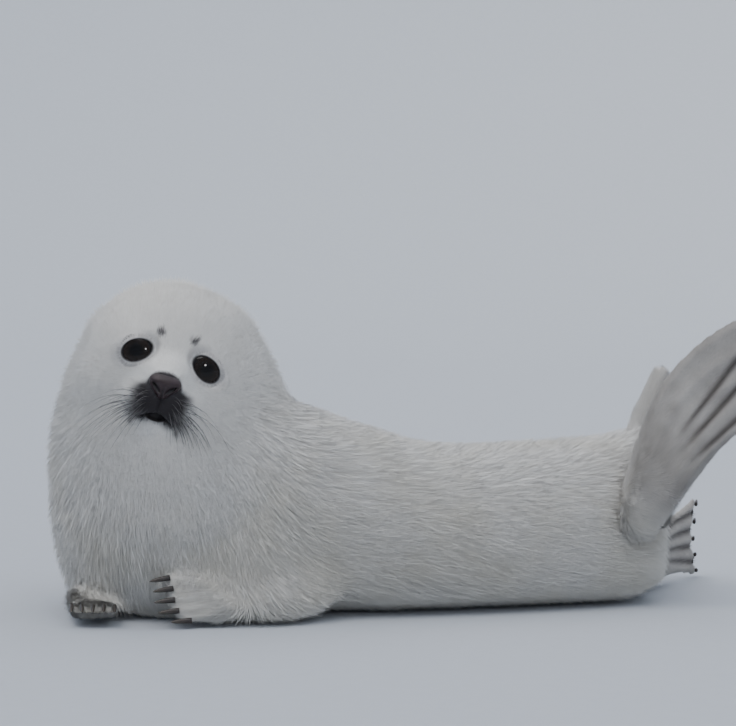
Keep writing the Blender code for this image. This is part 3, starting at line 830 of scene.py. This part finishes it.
def build_coat(skin):
    """Tufts all over the skin, in pieces from the chest to the hind flippers."""
    mesh = skin.data
    points, normals = coords(mesh), vertex_normals(mesh)
    weights = skin_weights(mesh)
    depth, groove = get_floats(mesh, "depth"), get_floats(mesh, "groove")
    density = coat_density(points, normals, weights, depth)
    corners, loops, share = sample_roots(mesh, density, COAT_TUFTS)
    root, weight = blend(points, corners, share), blend(weights, corners, share)
    normal = unit(blend(normals, corners, share))
    deep = blend(depth[:, None], corners, share)[:, 0]
    uv = fetch(mesh.uv_layers["OFBake"].data, "uv", 2).astype(float)
    place = blend(uv, loops, share)

    verts, turned = shape_tufts(root, normal, coat_lie(root, normal, weight), weight, deep)
    faces = np.array([[0, 1, 2], [0, 3, 1], [0, 2, 3], [1, 3, 2]])
    a, b, c, d = (verts[:, k] for k in range(4))
    if np.median(np.einsum("nd,nd->n", np.cross(b - a, c - a), d - a)) > 0:
        faces = faces[:, ::-1]

    colour = markings_and_shade(root, weight, blend(groove[:, None], corners, share)[:, 0])
    tone = (1 + rng.normal(0, 0.03, COAT_TUFTS))[:, None]
    # each tuft gets painted shade at its roots and painted light at its tip
    shade = np.stack([colour * part for part in TUFT_ROOT_SHADE_TIP_LIGHT], 1)
    shade = np.clip(shade * tone[:, None, :], 0, 0.95)
    patch = PATCH * np.array([[0, 0], [1, 0], [0.5, 0.4], [0.5, 1]])
    uvs = np.clip(place[:, None, :] + patch, 0.0, 1.0)

    order = np.argsort(root[:, 0] + 0.35 * root[:, 2])
    parts = np.array_split(order, ceil(COAT_TUFTS / PIECE_TUFTS))
    pieces = []
    for number, chosen in enumerate(parts, start=1):
        tris = (faces[None] + 4 * np.arange(len(chosen))[:, None, None]).reshape(-1, 3)
        piece = new_object(f"coat_{number:02d}", verts[chosen].reshape(-1, 3), tris)
        layer = piece.data.uv_layers.new(name="OFBake")
        flat = uvs[chosen].reshape(-1, 2)[tris.ravel()]
        layer.data.foreach_set("uv", flat.astype(np.float32).ravel())
        set_colours(piece.data, "shade", shade[chosen].reshape(-1, 3))
        soft = unit(turned[chosen].reshape(-1, 3))
        piece.data.normals_split_custom_set_from_vertices(soft.tolist())
        pieces.append(piece)
    return pieces


# ---- eyes, nose, claws and whiskers
def build_eye(side):
    """A slightly flattened eyeball; iris is 0 at the middle of the pupil."""
    rings, around = 48, 64
    verts, iris = [], []
    deep, wide = EYEBALL
    for i in range(1, rings):
        turn = pi * i / rings
        for k in range(around):
            spin = 2 * pi * k / around
            r = wide * sin(turn)
            ahead = EYE_APEX - deep + (deep if cos(turn) > 0 else wide * 0.9) * cos(turn)
            verts.append((ahead, r * cos(spin), r * sin(spin)))
            iris.append(r if cos(turn) > 0 else wide)
    verts += [(EYE_APEX, 0, 0), (EYE_APEX - deep - wide * 0.9, 0, 0)]
    iris += [0, wide]
    faces = tube_faces(rings - 1, around)
    world = np.array(verts) @ EYE_AXES[side] + eye_at[side]
    if side < 0:  # its axes are a mirror image
        faces = [f[::-1] for f in faces]
    obj = new_object("eyeball_" + ("left" if side > 0 else "right"), world, faces)
    set_floats(obj.data, "iris", np.array(iris) / wide)
    return obj


def build_nose():
    """The nose pad: a broad shield with two slit nostrils and a middle groove."""
    bm = bmesh.new()
    bmesh.ops.create_icosphere(bm, subdivisions=6, radius=1.0)
    mesh = mesh_of(bm, "nose_pad")
    ball = coords(mesh)
    front = step(ball[:, 0], -0.2, 0.7)
    square = np.sign(ball) * np.abs(ball) ** np.array([0.92, 0.74, 0.74])
    p = square * (0.0098, 0.0172, 0.0112)
    # level along its top, with corners, and narrower at its foot
    low = step(-p[:, 2], -0.006, 0.013)
    p[:, 1] *= 1.0 - 0.50 * low
    p[:, 2] -= 0.0026 * low * (1 - 0.6 * step(np.abs(p[:, 1]), 0.002, 0.008))
    p[:, 0] += 0.0012 * bell(p[:, 1], 0.008) * front - 0.0022 * low * front
    depth = np.zeros(len(p))
    for side in (1, -1):
        for t in np.linspace(0, 1, 24):
            y = side * (0.0030 + 0.0082 * t)
            z = -0.0062 + 0.0074 * t**1.5 + 0.0008 * sin(pi * t)
            wide = 0.0010 + 0.0011 * sin(pi * min(1, t * 1.1)) ** 0.7
            cut = bell(np.hypot(p[:, 1] - y, p[:, 2] - z), wide)
            depth = np.maximum(depth, cut * (0.5 + 0.5 * t))
    groove = bell(p[:, 1], 0.0009) * step(-p[:, 2], -0.002, 0.004)
    p[:, 0] -= (0.0036 * depth + 0.0013 * groove) * front
    pebble = noise(p, 0.0011, 41) * 0.00010 + noise(p, 0.0030, 42) * 0.00016
    p[:, 0] += pebble * front
    set_coords(mesh, from_head(p + NOSE))
    set_smooth(mesh)
    set_floats(mesh, "slit", np.maximum(depth, groove * 0.6) * front)
    return in_scene("nose_pad", mesh)


def tube(path, radii, sides, verts, faces, along, flat=1.0):
    """Adds a closed tapered tube along path to the lists."""
    path = np.asarray(path)
    tangent = unit(np.gradient(path, axis=0))
    first = np.cross(tangent[0], (0.0, 0.0, 1.0))
    if norm(first) < 0.1:
        first = np.cross(tangent[0], (0.0, 1.0, 0.0))
    start = len(verts)
    across = unit(first)
    for k, (point, way, radius) in enumerate(zip(path, tangent, radii)):
        across = unit(across - way * (across @ way))
        other = np.cross(way, across)
        for n in range(sides):
            turn = 2 * pi * n / sides
            verts.append(point + radius * (across * cos(turn) * flat + other * sin(turn)))
            along.append(k / (len(path) - 1))
    verts += [path[0], path[-1]]
    along += [0.0, 1.0]
    faces += tube_faces(len(path), sides, start)


def build_claws(flipper):
    """Five hooked claws on one flipper, each where its CAD claw is."""
    verts, faces, along = [], [], []
    for name in claw_names(flipper):
        p = coords(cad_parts[name].data)
        heart = p.mean(0)
        off = p - heart
        way = unit(np.linalg.svd(off, full_matrices=False)[2][0])
        if way @ WAYS[flipper] < 0:
            way = -way
        reach = off @ way
        thick = norm(off - reach[:, None] * way, axis=1).max()
        root = p[reach < reach.min() + 0.0005].mean(0) - way * CLAW_ROOT
        tip = p[reach > reach.max() - 0.0005].mean(0)
        bow = heart - (root + tip) / 2
        t = np.linspace(0, 1, 14)[:, None]
        path = root + (tip - root) * t + bow * 4 * t * (1 - t)
        radii = thick * 0.86 * (1 - t[:, 0] ** 1.7) ** 0.75 + 0.00012
        tube(path, radii, 12, verts, faces, along, flat=0.8)
    obj = new_object("claws_" + flipper.replace("_flipper", ""), verts, faces)
    set_floats(obj.data, "along", along)
    return obj


def build_whiskers(skin):
    """Whiskers in rows on the pads, and a few over each eye."""
    tree = BVHTree.FromObject(skin, bpy.context.evaluated_depsgraph_get())
    verts, faces, along = [], [], []
    back = Vector(-HEAD_AXES[0])

    def add(spot, out, length, drop, thick, steps=13):
        hit, facing, _, _ = tree.ray_cast(Vector(from_head([0.12, *spot])), back, 0.2)
        if hit is None:
            return
        way = unit(np.array(facing) * 0.7 + np.array(out) @ HEAD_AXES)
        t = np.linspace(0, 1, steps)[:, None]
        path = np.array(hit) - way * 0.0012 + way * length * t * (1 - 0.24 * t)
        path = path + np.array(drop) @ HEAD_AXES * length * t**1.8
        tube(path, mix(thick, HAIR_TIP, t[:, 0] ** 0.8), 5, verts, faces, along)

    for side in (1, -1):
        for row in range(WHISKER_ROWS):
            for column in range(7 if row in LONG_ROWS else 5):
                spot = (0.0115 + 0.0036 * column + 0.0016 * (row % 2)) * side
                height = -0.0300 - 0.0041 * row - 0.0016 * column
                spot, height = np.array([spot, height]) + rng.normal(0, 0.0005, 2)
                length = mix(*WHISKER_LENGTH, (column + 0.6) / 7) * rng.uniform(0.80, 1.15)
                out = (0.16, side * (0.70 + 0.06 * column), 0.26 - 0.13 * row)
                drop = (-0.45, side * 0.14, -(0.66 + 0.03 * row) * rng.uniform(0.75, 1.15))
                add((spot, height), out, length * (1 - 0.03 * row), drop, WHISKER_THICK)
        for n in range(3):
            turn = 0.4 + 2.1 * n
            spot = (side * BROW[0] + 0.0022 * cos(turn), BROW[1] + 0.0022 * sin(turn))
            out = (0.1, side * (0.1 + 0.2 * n), 0.9)
            length, drop = rng.uniform(0.012, 0.018), (-0.45, side * 0.1, 0.1)
            add(spot, out, length, drop, BROW_HAIR_THICK, 9)
    obj = new_object("whiskers", verts, faces)
    set_floats(obj.data, "along", along)
    return obj


# ---- materials
def shader_of(name):
    """A new material, its node tree and its shader."""
    made = bpy.data.materials.new(name)
    made.use_nodes = True
    return made, made.node_tree, made.node_tree.nodes["Principled BSDF"]


def set_inputs(tree, node, inputs):
    """Sets each input of a node to a value, or links it to an output."""
    for name, value in inputs.items():
        if isinstance(value, bpy.types.NodeSocket):
            tree.links.new(value, node.inputs[name])
        else:
            node.inputs[name].default_value = value


def add_node(tree, kind, **inputs):
    node = tree.nodes.new("ShaderNode" + kind)
    set_inputs(tree, node, inputs)
    return node


def add_texture(tree, kind, **inputs):
    place = add_node(tree, "TexCoord").outputs["Object"]
    return add_node(tree, "Tex" + kind, Vector=place, **inputs)


def add_noise(tree, scale, detail):
    return add_texture(tree, "Noise", Scale=scale, Detail=detail).outputs["Fac"]


def add_bump(tree, height, shader, strength, distance):
    bump = add_node(tree, "Bump", Height=height, Strength=strength, Distance=distance)
    set_inputs(tree, shader, {"Normal": bump.outputs["Normal"]})


def add_ramp(tree, factor, *stops):
    """A colour ramp; each stop is its place and its colour, and the ends come first."""
    ramp = add_node(tree, "ValToRGB", Fac=factor)
    elements = ramp.color_ramp.elements
    for number, (place, colour) in enumerate(stops):
        element = elements[number] if number < 2 else elements.new(place)
        element.position = place
        element.color = (*colour, 1)
    return ramp.outputs["Color"]


def add_attribute(tree, name):
    made = add_node(tree, "Attribute")
    made.attribute_name = name
    return made


def finish_shader(shader, roughness, specular=None):
    shader.inputs["Roughness"].default_value = roughness
    if specular is not None:
        shader.inputs["Specular IOR Level"].default_value = specular


def tint(tree, shader, colour, factor, low, high):
    """Base colour times a grey between low and high, as factor goes from 0 to 1."""
    grey = add_node(tree, "MapRange", **{"Value": factor, "To Min": low, "To Max": high})
    product = add_node(tree, "Mix")
    product.data_type = "RGBA"
    product.blend_type = "MULTIPLY"
    set_inputs(tree, product, {"Factor": 1.0, "A": colour, "B": grey.outputs["Result"]})
    set_inputs(tree, shader, {"Base Color": product.outputs["Result"]})


def coat_material():
    made, tree, shader = shader_of("coat")
    shade = add_attribute(tree, "shade").outputs["Color"]
    fleck = add_noise(tree, 420.0, 2.0)
    tint(tree, shader, shade, fleck, 0.96, 1.04)
    finish_shader(shader, 0.72, 0.22)
    set_inputs(tree, shader, {"Sheen Weight": 0.25, "Sheen Roughness": 0.5})
    return made


def skin_material():
    made, tree, shader = shader_of("skin")
    shade = add_attribute(tree, "shade").outputs["Color"]
    tint(tree, shader, shade, add_noise(tree, 260.0, 4.0), 0.80, 1.10)
    add_bump(tree, add_noise(tree, 1500.0, 2.0), shader, 0.5, 0.0006)
    finish_shader(shader, 0.6, 0.3)
    return made


def eye_material():
    """Near black, with a brown iris round the pupil."""
    made, tree, shader = shader_of("eye")
    colour = add_ramp(
        tree, add_attribute(tree, "iris").outputs["Fac"],
        (0.30, (0.0015, 0.0012, 0.0012)), (0.92, (0.010, 0.007, 0.006)),
        (0.40, (0.008, 0.005, 0.003)), (0.66, (0.014, 0.008, 0.005)),
        (0.76, (0.004, 0.003, 0.003)),
    )
    tint(tree, shader, colour, add_noise(tree, 900.0, 3.0), 0.6, 1.4)
    finish_shader(shader, 0.06, 0.30)
    return made


def nose_material():
    """Dark damp skin, pebbled, with painted shade in the slits and the middle groove."""
    made, tree, shader = shader_of("nose")
    # painted shade darkens the nostril slits and the middle groove
    colour = add_ramp(
        tree, add_attribute(tree, "slit").outputs["Fac"],
        (0.0, (0.028, 0.015, 0.017)), (0.75, (0.004, 0.003, 0.003)),
    )
    tint(tree, shader, colour, add_noise(tree, 190.0, 3.0), 0.55, 1.5)
    pebbles = add_texture(tree, "Voronoi", Scale=950.0).outputs["Distance"]
    add_bump(tree, pebbles, shader, 0.45, 0.0004)
    finish_shader(shader, 0.42, 0.45)
    return made


def gradient_material(name, first, last, roughness, scale):
    """Colour from root to tip by the along attribute, with fine streaks."""
    made, tree, shader = shader_of(name)
    factor = add_attribute(tree, "along").outputs["Fac"]
    colour = add_ramp(tree, factor, (0.12, first), (0.85, last))
    streak = add_noise(tree, scale, 3.0)
    tint(tree, shader, colour, streak, 0.75, 1.25)
    add_bump(tree, streak, shader, 0.25, 0.0003)
    finish_shader(shader, roughness)
    return made


def floor_material():
    made, tree, shader = shader_of("floor")
    speckle = add_noise(tree, 60.0, 4.0)
    tones = (0.0, (0.50, 0.53, 0.57)), (1.0, (0.53, 0.56, 0.60))
    tree.links.new(add_ramp(tree, speckle, *tones), shader.inputs["Base Color"])
    finish_shader(shader, 0.9)
    return made


def wear(obj, material):
    obj.data.materials.append(material)


# ---- stage, light and camera
def build_stage():
    """A pale round floor that sweeps up all round, well away."""
    profile = [(0.0, 0.0), (FLOOR_FLAT / 3, 0.0), (FLOOR_FLAT, 0.0)]
    for turn in np.linspace(0, pi / 2, 17)[1:]:
        rise = FLOOR_SWEEP * (1 - cos(turn))
        profile.append((FLOOR_FLAT + FLOOR_SWEEP * sin(turn), rise))
    profile.append((FLOOR_FLAT + FLOOR_SWEEP, WALL_TOP))
    around = 96
    verts, faces = [], []
    for radius, height in profile:
        for k in range(around):
            turn = 2 * pi * k / around
            verts.append((radius * cos(turn), radius * sin(turn), height))
    for a, b in ring_pairs(len(profile), around):
        faces.append((a + around, b + around, b, a))
    floor = new_object("floor", verts, faces)
    wear(floor, floor_material())


def aim(obj, at, look_at):
    obj.location = at
    obj.rotation_euler = (Vector(look_at) - Vector(at)).to_track_quat("-Z", "Y").to_euler()


def add_sun(name, at, strength, colour):
    """A soft light from far away, so that it falls evenly on the whole stage."""
    data = bpy.data.lights.new(name, "SUN")
    data.angle = radians(SUN_SPREAD)
    data.energy = strength
    data.color = colour
    aim(in_scene(name, data), at, SUN_TARGET)


def add_catch_light():
    """A small lamp above the viewer, for a point of light in each eye."""
    data = bpy.data.lights.new("catch", "AREA")
    data.size = 0.22
    data.energy = 5.0
    aim(in_scene("catch", data), from_head(CATCH_AT), head_origin)


def build_view():
    world = bpy.data.worlds.new("studio")
    world.use_nodes = True
    tree = world.node_tree
    light = {"Color": (0.86, 0.90, 1.0, 1), "Strength": 1.22}
    set_inputs(tree, tree.nodes["Background"], light)
    bpy.context.scene.world = world
    add_sun("key", (-1.4, -1.9, 2.6), 2.3, (1.0, 0.98, 0.95))
    add_sun("fill", (2.4, -1.2, 1.8), 1.0, (0.92, 0.96, 1.0))
    add_sun("rim", (-1.2, 2.2, 2.4), 0.45, (1.0, 0.95, 0.90))
    add_catch_light()
    breast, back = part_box("chest")[0][0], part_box("chest")[1][1]
    data = bpy.data.cameras.new("camera")
    data.lens = CAMERA_LENS
    data.sensor_width = 36.0
    camera = in_scene("camera", data)
    camera.location = (breast + CAMERA_RIGHT, back - CAMERA_AWAY, CAMERA_HEIGHT)
    camera.rotation_euler = (radians(CAMERA_TILT), 0.0, 0.0)
    bpy.context.scene.camera = camera


def main():
    skin = build_skin()
    mesh = skin.data
    colours = markings_and_shade(coords(mesh), skin_weights(mesh), get_floats(mesh, "groove"), bare=True)
    set_colours(mesh, "shade", colours)
    bpy.ops.object.select_all(action="DESELECT")
    skin.select_set(True)
    bpy.context.view_layer.objects.active = skin
    mesh.uv_layers.new(name="OFBake")
    bpy.ops.object.mode_set(mode="EDIT")
    bpy.ops.mesh.select_all(action="SELECT")
    bpy.ops.uv.smart_project(angle_limit=radians(72), island_margin=0.002)
    bpy.ops.object.mode_set(mode="OBJECT")

    coat = build_coat(skin)
    eyes = {side: build_eye(side) for side in (1, -1)}
    nose = build_nose()
    claws = {name: build_claws(name) for name in FLIPPERS}
    whiskers = build_whiskers(skin)
    for name in ("depth", "groove", *("w_" + part for part in FLESH)):
        mesh.attributes.remove(mesh.attributes[name])

    wear(skin, skin_material())
    fur = coat_material()
    for piece in coat:
        wear(piece, fur)
    gloss = eye_material()
    for eye in eyes.values():
        wear(eye, gloss)
    wear(nose, nose_material())
    horn = gradient_material("claw", (0.030, 0.024, 0.021), (0.075, 0.062, 0.050), 0.38, 700.0)
    for obj in claws.values():
        wear(obj, horn)
    hair = gradient_material("whisker", (0.022, 0.019, 0.020), (0.30, 0.285, 0.28), 0.40, 900.0)
    wear(whiskers, hair)

    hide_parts(*FLESH)
    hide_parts("eye_left")
    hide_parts("eye_right")
    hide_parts("nose")
    for name, obj in claws.items():
        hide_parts(*claw_names(name))
    for obj in (skin, *coat, *eyes.values(), nose, *claws.values(), whiskers):
        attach(obj, "root")
    build_stage()
    build_view()


main()
